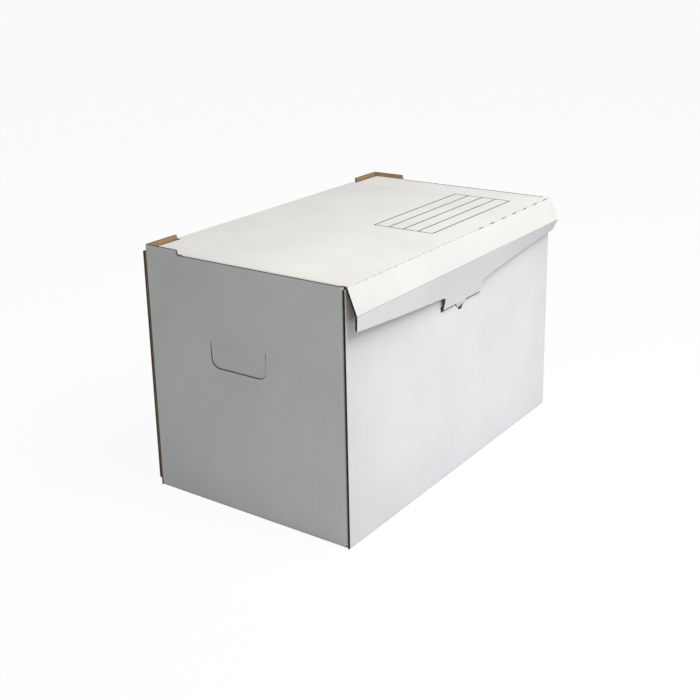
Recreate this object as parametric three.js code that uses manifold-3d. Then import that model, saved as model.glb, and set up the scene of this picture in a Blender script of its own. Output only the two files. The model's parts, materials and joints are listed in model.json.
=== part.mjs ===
// Archive storage box: one die-cut blank of white-faced corrugated board, folded up into a tray
// with a hinged lid, a front flap with a lock tongue and a push-in hand hole in each short side.
// Millimetres, +Z up. The origin is the middle of the tray's underside, the long side runs along X
// and the front wall, with the flap and tongue, faces -Y.

import * as THREE from 'three';
import { mergeVertices } from 'three/addons/utils/BufferGeometryUtils.js';
import Module from 'manifold-3d';

// tray
const boxLength = 530;
const boxDepth = 318;
const boxHeight = 335;
const board = 3;
const foldRadius = 3.4;
const sheetGap = 0.4;
const edgeGap = 0.5;
const cornerFlapReach = 57;
const raisedLegLength = 57;
const raisedRise = 6;
const raisedEndSlope = 2.5;
const sideTopDrop = 1;
const footRelief = 12;
const footSlope = 4;

// lid
const creaseRadius = 1.6;
const creaseGap = 0.3;
const lidSideGap = 0.5;
const lidSwingGap = 0.8;
const notchGap = 4;
const dustFlapDepth = 60;
const dustFlapTaper = 22;

// closing flap and lock tongue
const flapLength = 35.5;
const flapLean = 22;
const flapSideInset = 1.5;
const slotDrop = 88;
const slotHeight = 3.6;
const stripEndWidth = 18;
const stripMidWidth = 36.5;
const tongueWidth = 104;
const tongueWaist = 97;
const shoulderRun = 16;
const waistRun = 5;
const waistStart = 2;
const waistDrop = 7;
const perforationCount = 16;
const perforationPitch = 32.5;
const perforationLength = 12;
const perforationWidth = 1.6;

// thumb notch under the slot, and the tip of the tongue that lies in it
const notchLeft = 19;
const notchRight = 13;
const notchDrop = 13;
const notchFootLeft = 4.75;
const notchFootRight = 1.95;
const notchKneeReach = 9.75;
const notchKneeDrop = 2.86;
const notchClearance = 1.3;
const notchEndClearance = 1.56;

// hand holes
const handleWidth = 88;
const handleHeight = 36;
const handleDrop = 104;
const handleShift = 6;
const handleCorner = 12;
const handleCut = 0.8;

const arcSteps = 4;
const past = 1; // a cutting block runs this far past the board
const outsideColour = 0xe6e7e8;
const lidColour = 0xefeeea;
const liningColour = 0xdfe0e2;

const halfLength = boxLength / 2;
const halfDepth = boxDepth / 2;
const radians = THREE.MathUtils.degToRad;

const wasm = await Module();
wasm.setup();

// Boolean joins and cuts on closed geometries.
function toSolid(geometry) {
  const bare = geometry.clone();
  bare.deleteAttribute('normal');
  bare.deleteAttribute('uv');
  const merged = mergeVertices(bare, 1e-5);
  return new wasm.Manifold(new wasm.Mesh({
    numProp: 3,
    vertProperties: new Float32Array(merged.attributes.position.array),
    triVerts: new Uint32Array(merged.index.array),
  }));
}

function toMesh(solid, name, colour) {
  const { vertProperties, triVerts } = solid.getMesh();
  const geometry = new THREE.BufferGeometry();
  geometry.setAttribute('position', new THREE.BufferAttribute(new Float32Array(vertProperties), 3));
  geometry.setIndex(new THREE.BufferAttribute(new Uint32Array(triVerts), 1));
  geometry.computeVertexNormals();
  const material = new THREE.MeshStandardMaterial({ color: colour, roughness: 0.8, metalness: 0 });
  const mesh = new THREE.Mesh(geometry, material);
  mesh.name = name;
  return mesh;
}

function shapeOf(points) {
  return new THREE.Shape(points.map(([a, b]) => new THREE.Vector2(a, b)));
}

// An outline swept along one axis between two places. The outline's two numbers are (y, z) along X,
// (x, z) along Y and (x, y) along Z.
function sweep(points, axis, from, to) {
  const flat = axis === 'y' ? points.map(([x, z]) => [x, -z]) : points;
  const geometry = new THREE.ExtrudeGeometry(shapeOf(flat), {
    depth: to - from, bevelEnabled: false, steps: 1,
  });
  if (axis === 'x') {
    geometry.applyMatrix4(new THREE.Matrix4().makeBasis(
      new THREE.Vector3(0, 1, 0), new THREE.Vector3(0, 0, 1), new THREE.Vector3(1, 0, 0)));
    geometry.translate(from, 0, 0);
  } else if (axis === 'y') {
    geometry.applyMatrix4(new THREE.Matrix4().makeBasis(
      new THREE.Vector3(1, 0, 0), new THREE.Vector3(0, 0, -1), new THREE.Vector3(0, 1, 0)));
    geometry.translate(0, from, 0);
  } else {
    geometry.translate(0, 0, from);
  }
  return toSolid(geometry);
}

function block(x0, x1, y0, y1, z0, z1) {
  return sweep([[x0, y0], [x1, y0], [x1, y1], [x0, y1]], 'z', z0, z1);
}

function mirrored(points) {
  return points.map(([a, b]) => [-a, b]).reverse();
}

// The closed outline of a board bent along `corners`, which lie on its outer face with the board
// to the left of the way they run. Every fold is round, on one centre for both faces.
function bentBoard(corners, thickness, radius) {
  const outer = [];
  const inner = [];
  corners.forEach((corner, i) => {
    const here = new THREE.Vector2(...corner);
    const before = i > 0 ? new THREE.Vector2(...corners[i - 1]) : null;
    const after = i < corners.length - 1 ? new THREE.Vector2(...corners[i + 1]) : null;
    const into = before && here.clone().sub(before).normalize();
    const out = after && after.clone().sub(here).normalize();
    if (!into || !out) {
      const along = into ?? out;
      const left = new THREE.Vector2(-along.y, along.x);
      outer.push(here);
      inner.push(here.clone().addScaledVector(left, thickness));
      return;
    }
    const turn = Math.atan2(into.cross(out), into.dot(out));
    const reach = radius * Math.tan(turn / 2);
    const left = new THREE.Vector2(-into.y, into.x);
    const centre = here.clone().addScaledVector(into, -reach).addScaledVector(left, radius);
    for (let step = 0; step <= arcSteps; step += 1) {
      const spoke = left.clone().negate().rotateAround(new THREE.Vector2(), turn * step / arcSteps);
      outer.push(centre.clone().addScaledVector(spoke, radius));
      inner.push(centre.clone().addScaledVector(spoke, radius - thickness));
    }
  });
  return [...outer, ...inner.reverse()].map((point) => [point.x, point.y]);
}

// The creased end of a panel that lies under z = 0 and runs towards -Y from a crease at y = 0.
// The two panels of a crease meet on its bisecting plane, and the fold's outside is round.
function creaseEnd(bend) {
  const half = bend / 2;
  const points = [];
  for (let step = 0; step <= arcSteps; step += 1) {
    const swing = half * step / arcSteps;
    points.push([
      creaseRadius * (Math.sin(swing) - Math.tan(half)),
      creaseRadius * (Math.cos(swing) - 1),
    ]);
  }
  points.push([-board * Math.tan(half), -board]);
  const back = creaseGap / 2 / Math.cos(half);
  return points.map(([y, z]) => [y - back, z]);
}

// A flat panel between a crease at y = 0 and either a second crease or a cut edge at -length.
function panelSection(firstBend, length, secondBend) {
  const near = creaseEnd(firstBend);
  const far = secondBend === null
    ? [[-length, -board], [-length, 0]]
    : creaseEnd(secondBend).map(([y, z]) => [-length - y, z]).reverse();
  return [...near, ...far];
}

// Where the creases lie, seen along X.
const frontBend = radians(90 - flapLean);
const overhang = board * Math.tan(frontBend / 2) + edgeGap;
const lidLength = boxDepth + overhang;
const lean = radians(flapLean);
const lowerCrease = new THREE.Vector2(
  -halfDepth - overhang - flapLength * Math.sin(lean), boxHeight - flapLength * Math.cos(lean));
const slotMouth = new THREE.Vector2(-halfDepth - creaseGap, boxHeight - slotDrop);
const toMouth = slotMouth.clone().sub(lowerCrease);
const tongueLength = Math.sqrt(toMouth.lengthSq() - board * board);
const tongueLean = Math.atan2(toMouth.x, -toMouth.y) - Math.atan2(board, tongueLength);
const lowerBend = lean + tongueLean;

const sheetStep = board + sheetGap;
const wallInside = halfLength - board;
const lidUnder = boxHeight - board - edgeGap;
const lidHalf = wallInside - lidSideGap;
const raisedTop = boxHeight + raisedRise;
const cornerFlapFace = halfDepth - sheetStep - board;
const legStart = halfDepth - raisedLegLength;

// Hand-hole outline from its crease down, about the middle of the crease.
function handleOutline(grow) {
  const half = handleWidth / 2 + grow;
  const drop = handleHeight + grow;
  const corner = handleCorner + grow;
  const points = [[-half, 0]];
  for (const [side, start] of [[-1, Math.PI], [1, Math.PI * 1.5]]) {
    for (let step = 0; step <= arcSteps; step += 1) {
      const angle = start + Math.PI / 2 * step / arcSteps;
      points.push([
        side * (half - corner) + corner * Math.cos(angle),
        corner - drop + corner * Math.sin(angle),
      ]);
    }
  }
  points.push([half, 0]);
  return points;
}

// Thumb notch in the front wall, from the slot's lower edge down.
function notchOutline(shrink, endShrink) {
  return [
    [-notchLeft + endShrink, 0],
    [-notchFootLeft, -notchDrop + shrink],
    [notchFootRight, -notchDrop + shrink],
    [notchKneeReach - shrink, -notchKneeDrop],
    [notchRight - endShrink, 0],
  ];
}

// Tray: bottom, front and back wall are one bend of the board; each side wall folds up from the
// bottom and carries a corner flap at each end, inside the front and back wall.
function makeTray() {
  const backEnd = creaseEnd(Math.PI / 2).map(([y, z]) => [halfDepth + z, boxHeight + y]);
  const runRound = bentBoard(
    [[-halfDepth, lidUnder], [-halfDepth, 0], [halfDepth, 0], [halfDepth, boxHeight - 2 * board]],
    board, foldRadius);
  let tray = sweep(runRound, 'x', -halfLength, halfLength)
    .add(sweep([
      [halfDepth - board, boxHeight - 3 * board],
      [halfDepth, boxHeight - 3 * board],
      ...backEnd,
    ], 'x', -halfLength, halfLength));

  const raisedEdge = halfLength - raisedLegLength;
  const wallBack = halfDepth - board - sheetGap / 2;
  const foldLeg = 4 * foldRadius;
  for (const side of [-1, 1]) {
    const onSide = (points) => (side < 0 ? points : mirrored(points));
    const reach = (a, b) => (side < 0 ? [a, b] : [-b, -a]);

    // The bottom ends at the round fold of the side wall, and the back wall's foot is cut away.
    tray = tray
      .subtract(block(...reach(-halfLength - past, -halfLength + foldRadius),
        -halfDepth + sheetStep, halfDepth - sheetStep, -past, foldRadius + past))
      .subtract(sweep(onSide([
        [-halfLength - past, -past],
        [-wallInside, -past],
        [-wallInside, footRelief - footSlope],
        [-halfLength - past, footRelief],
      ]), 'y', wallBack, halfDepth + past))
      .subtract(block(...reach(-halfLength - past, -raisedEdge), wallBack,
        halfDepth + past, boxHeight - board, boxHeight + past));

    const foldReach = halfDepth - sheetStep - foldRadius;
    const sideFold = bentBoard(
      [[-halfLength, foldLeg], [-halfLength, 0], [-halfLength + foldLeg, 0]],
      board, foldRadius);
    const wallAndFlaps = bentBoard([
      [-halfLength + cornerFlapReach, halfDepth - sheetStep],
      [-halfLength, halfDepth - sheetStep],
      [-halfLength, -halfDepth + sheetStep],
      [-halfLength + cornerFlapReach, -halfDepth + sheetStep],
    ], board, foldRadius);
    const wall = sweep(onSide(wallAndFlaps), 'z', board + edgeGap, raisedTop)
      .subtract(sweep([
        [-halfDepth, boxHeight - sideTopDrop],
        [legStart - raisedEndSlope, boxHeight - sideTopDrop],
        [legStart, raisedTop + past],
        [-halfDepth, raisedTop + past],
      ], 'x', ...reach(-halfLength - past, -raisedEdge + past)))
      .subtract(block(...reach(-wallInside, -raisedEdge + past), -halfDepth, 0,
        lidUnder, raisedTop + past));
    tray = tray
      .add(sweep(onSide(sideFold), 'y', -foldReach, foldReach))
      .add(wall)
      .subtract(sweep(
        handleOutline(handleCut).map(([y, z]) => [y + handleShift, z + boxHeight - handleDrop]),
        'x', ...reach(-halfLength - past, -wallInside + past)));
  }

  // Slot for the tongue, with the thumb notch under it.
  const slotBottom = boxHeight - slotDrop;
  const slotHalf = tongueWidth / 2 + edgeGap;
  return tray
    .subtract(block(-slotHalf, slotHalf, -halfDepth - past, -wallBack,
      slotBottom, slotBottom + slotHeight))
    .subtract(sweep(
      [...notchOutline(0, 0), [notchRight, past], [-notchLeft, past]]
        .map(([x, z]) => [x, z + slotBottom]),
      'y', -halfDepth - past, -wallBack));
}

// Short slits along the perforated crease, cut from the panels on both sides of it.
function perforation() {
  let slits = null;
  for (let i = 0; i < perforationCount; i += 1) {
    const middle = (i - (perforationCount - 1) / 2) * perforationPitch;
    const slit = block(middle - perforationLength / 2, middle + perforationLength / 2,
      -perforationWidth / 2, perforationWidth / 2, -2 * board, board);
    slits = slits ? slits.add(slit) : slit;
  }
  return slits;
}

// Lid, flat under z = 0 with its hinge crease on the X axis and its front crease at -lidLength.
function makeLid() {
  const raisedEdge = halfLength - raisedLegLength - notchGap;
  const swing = Math.hypot(halfDepth - cornerFlapFace, raisedRise) + lidSwingGap;
  const dustBack = legStart - raisedEndSlope - notchGap - halfDepth;
  const dustReach = boxDepth - sheetStep - board - lidSwingGap;
  const dustFront = -Math.sqrt(dustReach ** 2 - dustFlapDepth ** 2);
  const dustFold = -dustReach + edgeGap;
  const edge = lidHalf - foldRadius;

  let lid = sweep(panelSection(Math.PI / 2, lidLength, frontBend), 'x', -lidHalf, lidHalf);
  for (const side of [-1, 1]) {
    const span = (a, b) => (side < 0 ? [a, b] : [-b, -a]);
    lid = lid
      .subtract(block(...span(-halfLength, -raisedEdge), -swing, past, -2 * board, past))
      .subtract(block(...span(-halfLength, -edge), dustFold, dustBack, -2 * board, past));
  }
  const cover = sweep(bentBoard(
    [[lidHalf, -dustFlapDepth], [lidHalf, 0], [-lidHalf, 0], [-lidHalf, -dustFlapDepth]],
    board, foldRadius), 'y', dustFold, dustBack);
  const dustOutline = sweep([
    [dustFold, past],
    [dustFold, -foldRadius],
    [dustFront, -dustFlapDepth - past],
    [dustBack - dustFlapTaper, -dustFlapDepth - past],
    [dustBack, -foldRadius],
    [dustBack, past],
  ], 'x', -halfLength, halfLength);
  return lid
    .add(cover.intersect(dustOutline))
    .subtract(perforation().translate([0, -lidLength, 0]));
}

function makeFrontFlap() {
  const half = halfLength - flapSideInset;
  return sweep(panelSection(frontBend, flapLength, lowerBend), 'x', -half, half)
    .subtract(perforation());
}

// Lock tongue with its strip, flat under z = 0 below the lower crease.
function makeTongue() {
  const half = halfLength - flapSideInset;
  const shoulder = tongueWidth / 2 + shoulderRun;
  const sideOf = [
    [half, -stripEndWidth],
    [shoulder, -stripMidWidth],
    [tongueWaist / 2 + waistRun, -stripMidWidth - waistStart],
    [tongueWaist / 2, -stripMidWidth - waistDrop],
    [tongueWidth / 2, -tongueLength],
  ];
  const tip = notchOutline(notchClearance, notchEndClearance)
    .map(([x, s]) => [x, s - tongueLength]);
  const outline = [
    [half, past],
    [-half, past],
    ...sideOf.map(([x, s]) => [-x, s]),
    ...tip,
    ...[...sideOf].reverse(),
  ];
  return sweep(panelSection(lowerBend, tongueLength + notchDrop, null), 'x', -half, half)
    .intersect(sweep(outline, 'z', -2 * board, past));
}

// Push-in flap of a hand hole, with its crease on the Y axis and the board towards -X of it.
function makeHandleFlap() {
  const outline = handleOutline(0).map(([y, z]) => [y, Math.min(z, -creaseGap)]);
  return sweep(outline, 'x', -board, 0);
}

const box = new THREE.Group();
box.add(toMesh(makeTray(), 'tray', outsideColour));

const lidHinge = new THREE.Group();
lidHinge.position.set(0, halfDepth, boxHeight);
lidHinge.add(toMesh(makeLid(), 'lid', lidColour));
box.add(lidHinge);

const flapHinge = new THREE.Group();
flapHinge.position.set(0, -lidLength, 0);
flapHinge.rotation.x = frontBend;
flapHinge.add(toMesh(makeFrontFlap(), 'front_flap', lidColour));
lidHinge.add(flapHinge);

const tongueHinge = new THREE.Group();
tongueHinge.position.set(0, -flapLength, 0);
tongueHinge.rotation.x = lowerBend;
tongueHinge.add(toMesh(makeTongue(), 'lock_tongue', lidColour));
flapHinge.add(tongueHinge);

for (const [name, side] of [['left_hand_flap', -1], ['right_hand_flap', 1]]) {
  const handFlap = toMesh(makeHandleFlap(), name, liningColour);
  handFlap.position.set(side * wallInside, handleShift, boxHeight - handleDrop);
  if (side > 0) handFlap.rotation.z = Math.PI;
  box.add(handFlap);
}

export default box;
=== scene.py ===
import bpy
import json
import math
from mathutils import Matrix, Vector
from mathutils.bvhtree import BVHTree


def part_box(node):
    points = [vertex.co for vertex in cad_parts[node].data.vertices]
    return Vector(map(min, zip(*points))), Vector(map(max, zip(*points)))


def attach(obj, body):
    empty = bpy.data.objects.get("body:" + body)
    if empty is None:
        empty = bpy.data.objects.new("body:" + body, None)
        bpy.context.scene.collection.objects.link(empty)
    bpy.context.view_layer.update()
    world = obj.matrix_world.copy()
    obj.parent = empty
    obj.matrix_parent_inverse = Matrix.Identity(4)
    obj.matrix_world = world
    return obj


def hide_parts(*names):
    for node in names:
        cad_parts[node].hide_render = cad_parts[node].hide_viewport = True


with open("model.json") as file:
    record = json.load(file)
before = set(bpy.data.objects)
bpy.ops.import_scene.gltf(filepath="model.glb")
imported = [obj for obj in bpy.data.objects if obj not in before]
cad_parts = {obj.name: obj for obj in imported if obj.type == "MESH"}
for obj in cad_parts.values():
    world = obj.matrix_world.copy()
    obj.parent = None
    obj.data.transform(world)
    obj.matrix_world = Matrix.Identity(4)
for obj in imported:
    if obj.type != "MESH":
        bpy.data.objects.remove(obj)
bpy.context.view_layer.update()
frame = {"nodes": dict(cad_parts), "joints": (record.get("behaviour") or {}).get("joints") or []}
mm = 0.001
xAxis, yAxis, zAxis = Vector((1, 0, 0)), Vector((0, 1, 0)), Vector((0, 0, 1))

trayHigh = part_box("tray")[1]
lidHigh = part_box("lid")[1]
halfLength = trayHigh.x
halfDepth = trayHigh.y
lidTop = lidHigh.z
boxMiddle = Vector((0, 0, lidTop / 2))
joints = {joint["name"]: joint for joint in frame["joints"]}
hingeCrease = Vector(joints["lid_hinge"]["pos_m"])
frontCrease = Vector(joints["front_flap_crease"]["pos_m"])
lowerCrease = Vector(joints["lock_tongue_crease"]["pos_m"])
handCrease = Vector(joints["left_hand_flap_crease"]["pos_m"])

# single-wall board, as measured on its cut edges
board = {
    "thickness": 3.0 * mm,
    "liner": 0.4 * mm,
    "medium": 0.7 * mm,
    "pitch": 6.8 * mm,          # from one flute to the next
    "depth": 9 * mm,            # how far the flute mouths are cut in
    "groove": 2.2 * mm,         # how far an opened flute is cut in at one liner
    "grooveTaper": 0.35,        # and its share of that at the other
}
halfBoard = board["thickness"] / 2


# Camera

cameraSettings = {
    "place": (-1.2452, -0.8643, 0.7146),
    "azimuth": -54.566,
    "elevation": 17.078,
    "roll": -1.173,
    "focalPixels": 1121.9,
    "pictureWidth": 700,
    "shiftPixels": 70,
    "sensor": 36,
    "nearest": 0.05,
    "farthest": 100,
}


def makeCamera():
    s = cameraSettings
    data = bpy.data.cameras.new("photoCamera")
    camera = bpy.data.objects.new("photoCamera", data)
    bpy.context.scene.collection.objects.link(camera)
    data.sensor_width = s["sensor"]
    data.lens = s["focalPixels"] / s["pictureWidth"] * s["sensor"]
    data.shift_y = -s["shiftPixels"] / s["pictureWidth"]
    data.clip_start = s["nearest"]
    data.clip_end = s["farthest"]
    azimuth, elevation = math.radians(s["azimuth"]), math.radians(s["elevation"])
    back = Vector((
        math.sin(azimuth) * math.cos(elevation),
        -math.cos(azimuth) * math.cos(elevation),
        math.sin(elevation),
    ))
    level = (-back).to_track_quat("-Z", "Y")
    roll = Matrix.Rotation(math.radians(s["roll"]), 3, back)
    camera.matrix_world = (
        Matrix.Translation(Vector(s["place"])) @ (roll @ level.to_matrix()).to_4x4()
    )
    bpy.context.scene.camera = camera


makeCamera()
print("camera placed")


# Materials

def hexColour(value):
    channels = [int(value[i:i + 2], 16) / 255 for i in (1, 3, 5)]
    linear = [c / 12.92 if c <= 0.04045 else ((c + 0.055) / 1.055) ** 2.4 for c in channels]
    return (*linear, 1.0)


# A node with its settings, and its inputs by name, or by number as i0, i1 and so on.
def addNode(tree, kind, settings=None, **inputs):
    node = tree.nodes.new(kind)
    for name, value in (settings or {}).items():
        setattr(node, name, value)
    for name, value in inputs.items():
        isNumbered = name[0] == "i" and name[1:].isdigit()
        socket = node.inputs[int(name[1:]) if isNumbered else name]
        if isinstance(value, bpy.types.NodeSocket):
            tree.links.new(value, socket)
        else:
            socket.default_value = value
    return node


def newMaterial(name):
    material = bpy.data.materials.new(name)
    material.use_nodes = True
    tree = material.node_tree
    tree.nodes.clear()
    shader = addNode(tree, "ShaderNodeBsdfPrincipled")
    output = addNode(tree, "ShaderNodeOutputMaterial")
    tree.links.new(shader.outputs["BSDF"], output.inputs["Surface"])
    return material, tree, shader


# A colour that wanders with a noise between two tints; `spread` is the part of the noise that
# takes it from the one to the other.
def mottledColour(tree, place, s):
    noise = addNode(tree, "ShaderNodeTexNoise",
                    Vector=place.outputs["Object"], Scale=s["noise"], Detail=s["detail"])
    share = addNode(tree, "ShaderNodeMapRange",
                    i0=noise.outputs["Fac"], i1=s["spread"][0], i2=s["spread"][1])
    colour = addNode(tree, "ShaderNodeMix", {"data_type": "RGBA"}, i0=share.outputs[0],
                     i6=hexColour(s["tints"][0]), i7=hexColour(s["tints"][1]))
    return noise, colour


ribSettings = {
    "depth": 0.07 * mm,         # the liners sink a little between the flutes
    "sideFacing": 0.7,          # how far a face's normal leans to X where it counts as a side
    "patch": 14.0,              # per metre: patches where the ribs show more or less
    "patchDetail": 1.0,
    "patchSpread": (0.35, 0.7),
    "patchStrength": (0.25, 1.0),
    "fibre": 900.0,             # per metre: fibre flecks of about 1 mm
    "fibreDetail": 2.0,
    "fibreHeight": 0.25,        # against a rib's height
}


# Washboard over the flutes. They run upright in every wall and from back to front in the lid, so
# they are counted along Y on the faces that look along X, and along X on all the others.
def washboard(tree, place):
    s = ribSettings
    spot = addNode(tree, "ShaderNodeSeparateXYZ", i0=place.outputs["Object"])
    facing = addNode(tree, "ShaderNodeSeparateXYZ", i0=place.outputs["Normal"])
    sideways = addNode(tree, "ShaderNodeMath", {"operation": "ABSOLUTE"}, i0=facing.outputs["X"])
    isSide = addNode(tree, "ShaderNodeMath", {"operation": "GREATER_THAN"},
                     i0=sideways.outputs[0], i1=s["sideFacing"])
    along = addNode(tree, "ShaderNodeMix",
                    i0=isSide.outputs[0], i2=spot.outputs["X"], i3=spot.outputs["Y"])
    turns = addNode(tree, "ShaderNodeMath", {"operation": "MULTIPLY"},
                    i0=along.outputs[0], i1=2 * math.pi / board["pitch"])
    wave = addNode(tree, "ShaderNodeMath", {"operation": "SINE"}, i0=turns.outputs[0])
    patch = addNode(tree, "ShaderNodeTexNoise",
                    Vector=place.outputs["Object"], Scale=s["patch"], Detail=s["patchDetail"])
    strength = addNode(tree, "ShaderNodeMapRange",
                       i0=patch.outputs["Fac"], i1=s["patchSpread"][0], i2=s["patchSpread"][1],
                       i3=s["patchStrength"][0], i4=s["patchStrength"][1])
    height = addNode(tree, "ShaderNodeMath", {"operation": "MULTIPLY"},
                     i0=wave.outputs[0], i1=strength.outputs[0])
    fibre = addNode(tree, "ShaderNodeTexNoise",
                    Vector=place.outputs["Object"], Scale=s["fibre"], Detail=s["fibreDetail"])
    return addNode(tree, "ShaderNodeMath", {"operation": "MULTIPLY_ADD"},
                   i0=fibre.outputs["Fac"], i1=s["fibreHeight"], i2=height.outputs[0])


def linerMaterial(name, s):
    material, tree, shader = newMaterial(name)
    place = addNode(tree, "ShaderNodeTexCoord")
    height = washboard(tree, place)
    colour = mottledColour(tree, place, s)[1]
    bump = addNode(tree, "ShaderNodeBump",
                   Strength=1.0, Distance=ribSettings["depth"], Height=height.outputs[0])
    tree.links.new(colour.outputs[2], shader.inputs["Base Color"])
    tree.links.new(bump.outputs[0], shader.inputs["Normal"])
    shader.inputs["Roughness"].default_value = s["roughness"]
    shader.inputs["IOR"].default_value = s["ior"]
    return material


# White coated test liner: a clay-coated, calendered sheet, so it is smooth with a dull sheen.
whiteSettings = {
    "tints": ("#E2E2E0", "#EAEAE7"),
    "noise": 9.0,               # per metre: clouds of the coating, about 110 mm across
    "detail": 3.0,
    "spread": (0.3, 0.7),
    "roughness": 0.62,
    "ior": 1.45,
}

# Brown kraft liner: unbleached and uncoated, so it is matt and flecked with fibres.
kraftSettings = {
    "tints": ("#997B5A", "#AC8F6C"),
    "noise": 260.0,             # per metre: flecks of about 4 mm
    "detail": 4.0,
    "spread": (0.3, 0.7),
    "roughness": 0.85,
    "ior": 1.45,
}

# Cut board: torn and pressed fibres of both liners and the fluting, darker than the faces.
cutSettings = {
    "tints": ("#48403A", "#7C7166"),
    "noise": 700.0,             # per metre: fuzz of about 1.5 mm
    "detail": 3.0,
    "spread": (0.3, 0.7),
    "fuzz": 0.2 * mm,
    "fuzzStrength": 0.6,
    "roughness": 0.9,
}


def cutBoard():
    s = cutSettings
    material, tree, shader = newMaterial("cut corrugated board")
    fuzz, colour = mottledColour(tree, addNode(tree, "ShaderNodeTexCoord"), s)
    bump = addNode(tree, "ShaderNodeBump",
                   Strength=s["fuzzStrength"], Distance=s["fuzz"], Height=fuzz.outputs["Fac"])
    tree.links.new(colour.outputs[2], shader.inputs["Base Color"])
    tree.links.new(bump.outputs[0], shader.inputs["Normal"])
    shader.inputs["Roughness"].default_value = s["roughness"]
    return material


# the places of the three materials on every board piece
whiteFace, kraftFace, cutFace = 0, 1, 2
boardMaterials = [
    linerMaterial("white coated test liner", whiteSettings),
    linerMaterial("brown kraft liner", kraftSettings),
    cutBoard(),
]
print("board materials made")


# Board pieces

meshSettings = {
    "mergeCopy": 0.01 * mm,
    "flatWithin": 0.5,          # degrees: faces that turn by less become one face
    "mergeFinished": 0.005 * mm,
    "smoothBelow": 28,          # degrees
    "thinnest": 0.6,            # of the board's thickness: the way through, seen from a liner
    "thickest": 1.6,
    "rayStart": 0.02 * mm,
    "foldTurn": 30,             # degrees: the liners run on over edges that turn by less
}


def selectOnly(piece):
    bpy.ops.object.select_all(action="DESELECT")
    piece.select_set(True)
    bpy.context.view_layer.objects.active = piece


# A panel's own mesh to work on: the CAD node's triangles, merged and joined into whole faces.
def copyOfNode(nodeName, pieceName):
    s = meshSettings
    piece = bpy.data.objects.new(pieceName, frame["nodes"][nodeName].data.copy())
    bpy.context.scene.collection.objects.link(piece)
    selectOnly(piece)
    bpy.ops.object.mode_set(mode="EDIT")
    bpy.ops.mesh.select_all(action="SELECT")
    bpy.ops.mesh.remove_doubles(threshold=s["mergeCopy"])
    bpy.ops.mesh.customdata_custom_splitnormals_clear()
    bpy.ops.mesh.dissolve_limited(angle_limit=math.radians(s["flatWithin"]))
    bpy.ops.object.mode_set(mode="OBJECT")
    return piece


# White outside, kraft inside, cut board wherever the way through isn't one thickness. Both liners
# run on round a fold or a crease, where the faces turn by small steps.
def paintFaces(piece):
    s = meshSettings
    mesh = piece.data
    mesh.materials.clear()
    for material in boardMaterials:
        mesh.materials.append(material)
    tree = BVHTree.FromPolygons([v.co for v in mesh.vertices], [p.vertices for p in mesh.polygons])
    thinnest, thickest = s["thinnest"] * board["thickness"], s["thickest"] * board["thickness"]
    facesAtEdge = {}
    for face in mesh.polygons:
        way = tree.ray_cast(face.center - face.normal * s["rayStart"], -face.normal)[3]
        isLiner = way is not None and thinnest < way < thickest
        isOutside = face.normal.dot(face.center - boxMiddle) > 0
        face.material_index = (whiteFace if isOutside else kraftFace) if isLiner else cutFace
        for edge in face.edge_keys:
            facesAtEdge.setdefault(edge, []).append(face)
    smallTurn = math.cos(math.radians(s["foldTurn"]))
    ahead = [face for face in mesh.polygons if face.material_index != cutFace]
    while ahead:
        face = ahead.pop()
        for edge in face.edge_keys:
            for other in facesAtEdge[edge]:
                if other.material_index == cutFace and other.normal.dot(face.normal) > smallTurn:
                    other.material_index = face.material_index
                    ahead.append(other)


def placeAlong(cutter, start, along, inward, across):
    turn = Matrix((along, inward, across)).transposed().to_4x4()
    cutter.data.transform(Matrix.Translation(start) @ turn)
    cutter.data.update()
    return cutter


# One row of flute mouths: wedges that stand alternately on one liner and on the other. `start` is
# the middle of the board at the edge's end, `along` runs along the edge, `inward` into the board.
def fluteMouths(start, along, inward, across, length):
    s = board
    tall = s["thickness"] - 2 * s["liner"]
    count = int(length / s["pitch"])
    margin = (length - count * s["pitch"]) / 2
    rows = []
    for side in (1, -1):
        bpy.ops.object.select_all(action="DESELECT")
        bpy.ops.mesh.primitive_cube_add(size=1)
        wedge = bpy.context.active_object
        for vertex in wedge.data.vertices:
            narrow = s["medium"] / 2
            wide = s["pitch"] / 2 - s["medium"] - narrow if vertex.co.z * side > 0 else narrow
            vertex.co = Vector((
                math.copysign(wide, vertex.co.x),
                -s["liner"] if vertex.co.y < 0 else s["depth"],
                math.copysign(tall / 2, vertex.co.z),
            ))
        repeat = wedge.modifiers.new("flutes", "ARRAY")
        repeat.count = max(1, count if side > 0 else count - 1)
        repeat.use_relative_offset = False
        repeat.use_constant_offset = True
        repeat.constant_offset_displace = (s["pitch"], 0, 0)
        bpy.ops.object.modifier_apply(modifier="flutes")
        first = margin + (s["pitch"] / 2 if side > 0 else s["pitch"])
        rows.append(placeAlong(wedge, start + along * first, along, inward, across))
    return rows


# A cut that runs with the flutes opens one of them: a groove between the two liners.
def openFlute(start, along, inward, across, length):
    s = board
    tall = s["thickness"] - 2 * s["liner"]
    bpy.ops.object.select_all(action="DESELECT")
    bpy.ops.mesh.primitive_cube_add(size=1)
    groove = bpy.context.active_object
    for vertex in groove.data.vertices:
        deep = s["groove"] if vertex.co.z > 0 else s["groove"] * s["grooveTaper"]
        vertex.co = Vector((
            -s["liner"] if vertex.co.x < 0 else length + s["liner"],
            -s["liner"] if vertex.co.y < 0 else deep,
            math.copysign(tall / 2, vertex.co.z),
        ))
    return [placeAlong(groove, start, along, inward, across)]


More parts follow.
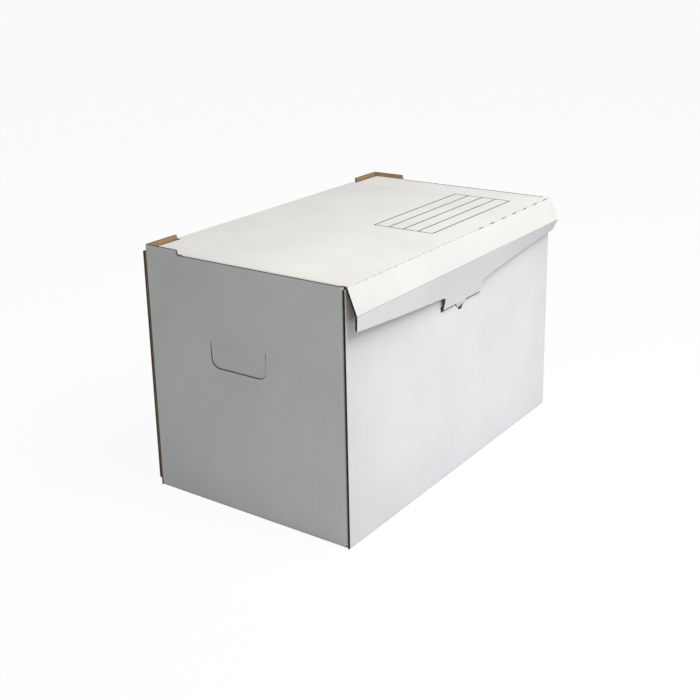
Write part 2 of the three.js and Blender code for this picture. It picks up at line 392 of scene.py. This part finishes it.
# Takes the cutters out of the board one by one; what they uncover is cut board.
def carve(piece, cutters):
    for tool in cutters:
        for material in boardMaterials:
            tool.data.materials.append(material)
        for face in tool.data.polygons:
            face.material_index = cutFace
        selectOnly(tool)
        bpy.ops.object.mode_set(mode="EDIT")
        bpy.ops.mesh.select_all(action="SELECT")
        bpy.ops.mesh.normals_make_consistent(inside=False)
        bpy.ops.object.mode_set(mode="OBJECT")
        selectOnly(piece)
        cut = piece.modifiers.new("carve", "BOOLEAN")
        cut.operation = "DIFFERENCE"
        cut.solver = "EXACT"
        cut.object = tool
        bpy.ops.object.modifier_apply(modifier="carve")
        bpy.data.objects.remove(tool)


# Cuts through the whole piece, so that its flat panels can bend there.
def crossCut(piece, direction, places):
    selectOnly(piece)
    bpy.ops.object.mode_set(mode="EDIT")
    for place in places:
        bpy.ops.mesh.select_all(action="SELECT")
        bpy.ops.mesh.bisect(plane_co=direction * place, plane_no=direction)
    bpy.ops.object.mode_set(mode="OBJECT")


def finishBoard(piece, nodeName):
    s = meshSettings
    selectOnly(piece)
    bpy.ops.object.mode_set(mode="EDIT")
    bpy.ops.mesh.select_all(action="SELECT")
    bpy.ops.mesh.remove_doubles(threshold=s["mergeFinished"])
    bpy.ops.mesh.quads_convert_to_tris()
    bpy.ops.object.mode_set(mode="OBJECT")
    bpy.ops.object.shade_smooth_by_angle(angle=math.radians(s["smoothBelow"]))
    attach(piece, nodeName)
    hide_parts(nodeName)
    print(nodeName, "has", len(piece.data.polygons), "faces")


# Tray

traySettings = {
    "sheetStep": 3.4 * mm,      # from a wall's face to the corner flap behind it
    "sideTop": lidTop - 1 * mm,
    "legStart": halfDepth - 57 * mm,
    "legSlope": 2.5 * mm,
    "flapReach": 57 * mm,
    "wallTop": lidTop - 3.5 * mm,
    "backTop": lidTop - 3 * mm,
    "footRelief": 12 * mm,
    "foldRoom": 4 * mm,
    "edgeClear": 1 * mm,        # board left whole at the end of a row of cuts
    "endClear": 5 * mm,         # the same by the bottom fold and at a corner flap's end
    "slotBottom": lidTop - 88 * mm,
    "slotHalf": 52.5 * mm,
    "notchLeft": 19 * mm,
    "notchRight": 13 * mm,
    "lipHeight": 4 * mm,        # painted shadow: dark cut board below the slot's lower lip
    "lipDepth": 1.1 * mm,
    "lipStart": 0.05 * mm,
    "mitreReach": 6 * mm,
    "mitreFacing": 0.92,        # cosine, for a face turned 45 degrees inwards and up
}


# The slot's lower lip cut back to show dark cut board: a painted shadow line under the tongue's end.
def paintedShadowLip(fromX, toX):
    s = traySettings
    bpy.ops.object.select_all(action="DESELECT")
    bpy.ops.mesh.primitive_cube_add(size=1)
    wedge = bpy.context.active_object
    for vertex in wedge.data.vertices:
        isTop = vertex.co.z > 0
        back = s["lipDepth"] if isTop else -s["lipStart"]
        vertex.co = Vector((
            fromX if vertex.co.x < 0 else toX,
            -halfDepth + (back if vertex.co.y > 0 else -board["liner"]),
            s["slotBottom"] + (board["liner"] if isTop else -s["lipHeight"]),
        ))
    return [wedge]


# The back wall's mitre under the hinge shows the brown liner once the lid is up.
def paintHingeMitre(tray):
    s = traySettings
    inwardAndUp = (zAxis - yAxis).normalized()
    for face in tray.data.polygons:
        away = face.center - hingeCrease
        isNear = math.hypot(away.y, away.z) < s["mitreReach"]
        if isNear and face.normal.dot(inwardAndUp) > s["mitreFacing"]:
            face.material_index = kraftFace


def makeTray():
    s = traySettings
    tray = copyOfNode("tray", "boardTray")
    paintFaces(tray)
    paintHingeMitre(tray)
    cutters = []
    flapMiddle = halfDepth - s["sheetStep"] - halfBoard
    flapRun = s["flapReach"] - s["endClear"]
    for side in (-1, 1):
        sideMiddle = side * (halfLength - halfBoard)
        flapStart = side * (halfLength - s["foldRoom"])
        inner = -side * xAxis
        # the side wall's top edge, and that of its raised leg
        cutters += fluteMouths(
            Vector((sideMiddle, board["thickness"] - flapMiddle, s["sideTop"])), yAxis, -zAxis, xAxis,
            flapMiddle - board["thickness"] + s["legStart"] - s["legSlope"] - 2 * s["edgeClear"])
        cutters += fluteMouths(
            Vector((sideMiddle, s["legStart"] + s["edgeClear"], trayHigh.z)), yAxis, -zAxis, xAxis,
            flapMiddle - s["legStart"] - 3 * s["edgeClear"])
        # the top edges of the corner flaps, and of the back wall next to its legs
        for place, top in ((flapMiddle, trayHigh.z), (-flapMiddle, s["wallTop"]),
                           (halfDepth - halfBoard, s["backTop"])):
            cutters += fluteMouths(Vector((flapStart, place, top)), inner, -zAxis, yAxis, flapRun)
        # the front wall's and the back wall's upright cut ends
        cutters += openFlute(
            Vector((side * halfLength, halfBoard - halfDepth, s["endClear"])), zAxis, inner, yAxis,
            s["wallTop"] - s["endClear"] - s["edgeClear"])
        cutters += openFlute(
            Vector((side * halfLength, halfDepth - halfBoard, s["footRelief"] + s["edgeClear"])),
            zAxis, inner, -yAxis, s["backTop"] - s["footRelief"] - 2 * s["edgeClear"])
    cutters += fluteMouths(
        Vector((s["foldRoom"] - halfLength, halfBoard - halfDepth, s["wallTop"])), xAxis, -zAxis, yAxis,
        2 * (halfLength - s["foldRoom"]))
    # a painted shadow line: the slot's lower lip is cut back to dark cut board under the tongue's end
    cutters += paintedShadowLip(-s["slotHalf"], -s["notchLeft"])
    cutters += paintedShadowLip(s["notchRight"], s["slotHalf"])
    carve(tray, cutters)
    return tray


# Lid and closing flap. The blade that perforated their crease has left the bridges between its
# slits pushed up a little, most of all on the left half.

creaseSettings = {
    "slits": 16,
    "pitch": 32.5 * mm,
    "bridge": 6 * mm,
    "bridgeTop": 0.5 * mm,      # how near to a bridge's middle the board is lifted whole
    "roundReach": 0.95 * mm,    # the crease's rounded corner, along the panel and inwards
    "roundDepth": 0.6 * mm,
    "lift": 1.2 * mm,
    "liftRight": 0.2 * mm,
    "leastLift": 0.05,
    "reach": 1.4 * mm,
    "pressedShut": 20 * mm,     # left of here the slits show the white liner, pressed shut
}

flapAlong = (lowerCrease - frontCrease).normalized()
flapInward = Vector((0, -flapAlong.z, flapAlong.y))
creaseOutward = (zAxis - flapInward).normalized()


def raiseBridges(piece, panelAlong, panelOutward):
    s = creaseSettings
    slitsEnd = s["slits"] / 2 * s["pitch"]
    middles = [(i + 1) * s["pitch"] - slitsEnd for i in range(s["slits"] - 1)]
    steps = (-s["bridge"], 0, s["bridge"])
    crossCut(piece, xAxis, [middle + step for middle in middles for step in steps])
    for face in piece.data.polygons:
        isByCrease = (face.center - frontCrease).dot(panelAlong) < s["reach"]
        isPressed = -slitsEnd < face.center.x < s["pressedShut"]
        if isByCrease and isPressed and face.material_index == cutFace:
            face.material_index = whiteFace
    for vertex in piece.data.vertices:
        away = vertex.co - frontCrease
        down = away.dot(panelAlong)
        isOnRound = down < s["roundReach"] and away.dot(creaseOutward) > -s["roundDepth"]
        isOnBridge = min(abs(vertex.co.x - middle) for middle in middles) < s["bridgeTop"]
        if isOnRound and isOnBridge:
            lift = s["lift"] if vertex.co.x < s["pressedShut"] else s["liftRight"]
            vertex.co += panelOutward * lift * min(1, down / s["reach"] + s["leastLift"])


lidSettings = {
    "notchDepth": 9.57 * mm,    # from the back wall's face to the edge of the notch for a leg
    "notchEnd": 205 * mm,
    "dustBottom": lidTop - 60 * mm,
    "dustFront": -140 * mm,
    "dustBack": 70 * mm,
}


def makeLid():
    s = lidSettings
    lid = copyOfNode("lid", "boardLid")
    paintFaces(lid)
    cutters = []
    for side in (-1, 1):
        start = side * (lidHigh.x - board["thickness"])
        cutters += fluteMouths(
            Vector((start, halfDepth - s["notchDepth"], lidTop - halfBoard)), -side * xAxis, -yAxis, zAxis,
            abs(start) - s["notchEnd"])
        cutters += fluteMouths(
            Vector((side * (lidHigh.x - halfBoard), s["dustFront"], s["dustBottom"])), yAxis, zAxis, xAxis,
            s["dustBack"] - s["dustFront"])
    carve(lid, cutters)
    raiseBridges(lid, yAxis, zAxis)
    return lid


flapSettings = {
    "clearAbove": 3 * mm,       # board left whole at both ends of an opened flute
    "clearBelow": 2 * mm,
}


def makeFrontFlap():
    s = flapSettings
    low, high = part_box("front_flap")
    flap = copyOfNode("front_flap", "boardFrontFlap")
    paintFaces(flap)
    run = (lowerCrease - frontCrease).length - s["clearAbove"] - s["clearBelow"]
    cutters = []
    for side, place in ((-1, low.x), (1, high.x)):
        corner = Vector((place, frontCrease.y, frontCrease.z))
        start = corner + flapInward * halfBoard + flapAlong * s["clearAbove"]
        cutters += openFlute(start, flapAlong, -side * xAxis, flapInward, run)
    carve(flap, cutters)
    raiseBridges(flap, flapAlong, -flapInward)
    return flap


# Lock tongue: its strip has warped, so the left end hangs nearly plumb and the right end leans in
# to the wall, and the tip in the thumb notch is pushed in.
tongueSettings = {
    "endWidth": 18 * mm,
    "middleWidth": 36.5 * mm,
    "shoulder": 68 * mm,
    "endClear": 3 * mm,         # board left whole at both ends of an opened flute
    "edgeClear": 4 * mm,        # the same for the flute mouths along a slanting edge
    "flatHalf": 60 * mm,
    "leftTwist": -11.5,
    "rightTwist": 13,
    "twistCuts": 10,
    "sideLine": 50.5 * mm,
    "sideStray": 2.5 * mm,
    "sideClear": 3 * mm,
    "tipHalf": 25 * mm,
    "tipStart": 50 * mm,
    "tipLength": 20 * mm,
    "tipPush": 4 * mm,
    "tipCuts": 6,
}


def makeTongue():
    s = tongueSettings
    tongue = copyOfNode("lock_tongue", "boardLockTongue")
    paintFaces(tongue)
    half = max(vertex.co.x for vertex in tongue.data.vertices)
    front = max((p for p in tongue.data.polygons if p.normal.y < 0), key=lambda p: p.area)
    inward = -front.normal
    along = Vector((0, -front.normal.z, front.normal.y))
    cutters = []
    for side in (-1, 1):
        end = lowerCrease + inward * halfBoard + side * half * xAxis
        cutters += openFlute(end + along * s["endClear"], along, -side * xAxis, inward,
                             s["endWidth"] - 2 * s["endClear"])
        widening = s["middleWidth"] - s["endWidth"]
        edge = Vector((-side * (half - s["shoulder"]), 0, 0)) + along * widening
        edgeWay = edge.normalized()
        downward = (along - along.dot(edgeWay) * edgeWay).normalized()
        cutters += fluteMouths(end + along * s["endWidth"] + edgeWay * s["edgeClear"],
                               edgeWay, -downward, inward, edge.length - 2 * s["edgeClear"])
    carve(tongue, cutters)
    step = (half - s["flatHalf"]) / s["twistCuts"]
    twistPlaces = [s["flatHalf"] + step * i for i in range(s["twistCuts"])]
    crossCut(tongue, xAxis, [side * place for place in twistPlaces for side in (-1, 1)])
    fromCrease = lowerCrease.dot(along)
    crossCut(tongue, along, [fromCrease + s["tipStart"] + s["tipLength"] * i / s["tipCuts"]
                             for i in range(s["tipCuts"])])
    for vertex in tongue.data.vertices:
        down = max(0, vertex.co.dot(along) - fromCrease)
        share = max(0, abs(vertex.co.x) - s["flatHalf"]) / (half - s["flatHalf"])
        twist = s["rightTwist"] if vertex.co.x > 0 else s["leftTwist"]
        push = down * math.tan(math.radians(twist * share))
        if abs(vertex.co.x) < s["tipHalf"] and down > s["tipStart"]:
            push += s["tipPush"] * ((down - s["tipStart"]) / s["tipLength"]) ** 2
        # the tongue's left side is one straight line
        isLeftSide = abs(vertex.co.x + s["sideLine"]) < s["sideStray"]
        if isLeftSide and down > s["middleWidth"] + s["sideClear"]:
            vertex.co.x = -s["sideLine"]
        vertex.co += inward * push
    return tongue


handSettings = {
    "push": 2.2,                # degrees: fingers have pushed the flap in a little
    "creaseGap": 0.4 * mm,
    "seam": 0.04 * mm,
}


# A hand hole's flap. Its upper edge is drawn up to the crease, where the real board is whole.
def makeHandFlap(nodeName, pieceName):
    s = handSettings
    flap = copyOfNode(nodeName, pieceName)
    paintFaces(flap)
    side = math.copysign(1, flap.data.vertices[0].co.x)
    for vertex in flap.data.vertices:
        down = handCrease.z - vertex.co.z
        if down < s["creaseGap"]:
            vertex.co.z = handCrease.z - s["seam"]
        vertex.co.x -= side * down * math.tan(math.radians(s["push"]))
    return flap


finishBoard(makeTray(), "tray")
finishBoard(makeLid(), "lid")
finishBoard(makeFrontFlap(), "front_flap")
finishBoard(makeTongue(), "lock_tongue")
finishBoard(makeHandFlap("left_hand_flap", "boardLeftHandFlap"), "left_hand_flap")
finishBoard(makeHandFlap("right_hand_flap", "boardRightHandFlap"), "right_hand_flap")


# Printed table on the lid

# Flexographic ink: thin dark grey that lies on the coating and has its dull sheen.
inkSettings = {
    "tints": ("#4A4946", "#6A6865"),
    "noise": 500.0,             # per metre: wear of about 2 mm
    "detail": 2.0,
    "spread": (0.4, 0.75),
    "roughness": 0.6,
}

tableSettings = {
    "left": -10 * mm,
    "right": 210 * mm,
    "front": -121 * mm,
    "back": -28.5 * mm,
    "rows": 4,
    "line": 2.1 * mm,
    "inkFoot": 0.02 * mm,
    "inkTop": 0.06 * mm,
}


def printedInk():
    s = inkSettings
    material, tree, shader = newMaterial("dark grey flexo ink")
    colour = mottledColour(tree, addNode(tree, "ShaderNodeTexCoord"), s)[1]
    tree.links.new(colour.outputs[2], shader.inputs["Base Color"])
    shader.inputs["Roughness"].default_value = s["roughness"]
    return material


def makeTable():
    s = tableSettings
    bpy.ops.object.select_all(action="DESELECT")
    bpy.ops.mesh.primitive_grid_add(x_subdivisions=1, y_subdivisions=s["rows"], size=1)
    table = bpy.context.active_object
    table.name = "printedTable"
    for vertex in table.data.vertices:
        vertex.co = Vector((
            s["left"] + (vertex.co.x + 0.5) * (s["right"] - s["left"]),
            s["front"] + (vertex.co.y + 0.5) * (s["back"] - s["front"]),
            0,
        ))
    lines = table.modifiers.new("lines", "WIREFRAME")
    lines.thickness = s["line"]
    lines.use_boundary = True
    lines.offset = 0
    bpy.ops.object.modifier_apply(modifier="lines")
    for vertex in table.data.vertices:
        vertex.co.z = lidTop + (s["inkFoot"] if vertex.co.z < 0 else s["inkTop"])
    table.data.materials.append(printedInk())
    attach(table, "lid")


makeTable()
print("table printed")


# Studio

floorSettings = {
    "size": 60,
    "drop": 0.2 * mm,           # below the box's foot
    "tints": ("#FCFCFC", "#FFFFFF"),
    "grain": 60.0,
    "detail": 2.0,
    "roughness": 0.9,
    "glow": 0.93,               # the share of glow in what the camera sees
    "bounce": "#B4B8C0",
}

keySettings = {
    "place": (0.0, -1.08, 1.72),
    "aim": (0, 0, 0.2),
    "up": "Y",
    "size": (1.3, 1.3),
    "power": 29.5,
    "colour": (1.0, 0.985, 0.965),
}

# a cool, low card in front, which lifts the foot of the front wall
cardSettings = {
    "place": (0.1, -0.47, 0.05),
    "aim": (0.1, 0, 0.05),
    "up": "X",
    "size": (0.1, 0.8),
    "power": 0.42,
    "colour": (0.86, 0.92, 1.0),
}

skySettings = {
    "seen": "#FFFFFF",
    "colour": "#FDFCFA",
    "light": 0.41,
}


# The camera sees a glowing white sweep with a trace of shadow. To all other rays the sweep is a
# plain bluish grey, so it sends less light back up and the box's shaded side stays grey.
def floorMaterial():
    s = floorSettings
    material, tree, shader = newMaterial("matt white studio sweep")
    place = addNode(tree, "ShaderNodeTexCoord")
    grain = addNode(tree, "ShaderNodeTexNoise",
                    Vector=place.outputs["Object"], Scale=s["grain"], Detail=s["detail"])
    colour = addNode(tree, "ShaderNodeMix", {"data_type": "RGBA"}, i0=grain.outputs["Fac"],
                     i6=hexColour(s["tints"][0]), i7=hexColour(s["tints"][1]))
    glow = addNode(tree, "ShaderNodeEmission", Color=hexColour("#FFFFFF"), Strength=1.0)
    seen = addNode(tree, "ShaderNodeMixShader", i0=s["glow"], i2=glow.outputs[0])
    bounce = addNode(tree, "ShaderNodeBsdfDiffuse", Color=hexColour(s["bounce"]))
    path = addNode(tree, "ShaderNodeLightPath")
    both = addNode(tree, "ShaderNodeMixShader",
                   i0=path.outputs["Is Camera Ray"], i1=bounce.outputs[0], i2=seen.outputs[0])
    tree.links.new(colour.outputs[2], shader.inputs["Base Color"])
    tree.links.new(shader.outputs["BSDF"], seen.inputs[1])
    tree.links.new(both.outputs[0], tree.nodes["Material Output"].inputs["Surface"])
    shader.inputs["Roughness"].default_value = s["roughness"]
    return material


def makeFloor():
    s = floorSettings
    bpy.ops.object.select_all(action="DESELECT")
    bpy.ops.mesh.primitive_plane_add(size=s["size"], location=(0, 0, -s["drop"]))
    floor = bpy.context.active_object
    floor.name = "studioFloor"
    floor.data.materials.append(floorMaterial())


def makeLight(name, s):
    light = bpy.data.lights.new(name, "AREA")
    light.shape = "RECTANGLE"
    light.size, light.size_y = s["size"]
    light.energy = s["power"]
    light.color = s["colour"]
    lamp = bpy.data.objects.new(name, light)
    bpy.context.scene.collection.objects.link(lamp)
    lamp.location = s["place"]
    lamp.rotation_mode = "QUATERNION"
    lamp.rotation_quaternion = (Vector(s["place"]) - Vector(s["aim"])).to_track_quat("Z", s["up"])
    lamp.visible_camera = False


# The camera sees white; what lights the box is dimmer.
def makeSky():
    s = skySettings
    world = bpy.data.worlds.new("studioWorld")
    bpy.context.scene.world = world
    world.use_nodes = True
    tree = world.node_tree
    tree.nodes.clear()
    path = addNode(tree, "ShaderNodeLightPath")
    seen = addNode(tree, "ShaderNodeBackground", Color=hexColour(s["seen"]), Strength=1.0)
    fill = addNode(tree, "ShaderNodeBackground", Color=hexColour(s["colour"]), Strength=s["light"])
    both = addNode(tree, "ShaderNodeMixShader",
                   i0=path.outputs["Is Camera Ray"], i1=fill.outputs[0], i2=seen.outputs[0])
    output = addNode(tree, "ShaderNodeOutputWorld")
    tree.links.new(both.outputs[0], output.inputs["Surface"])


makeFloor()
makeLight("softKey", keySettings)
makeLight("floorCard", cardSettings)
makeSky()
bpy.context.scene.view_settings.view_transform = "Standard"
print("studio lit")
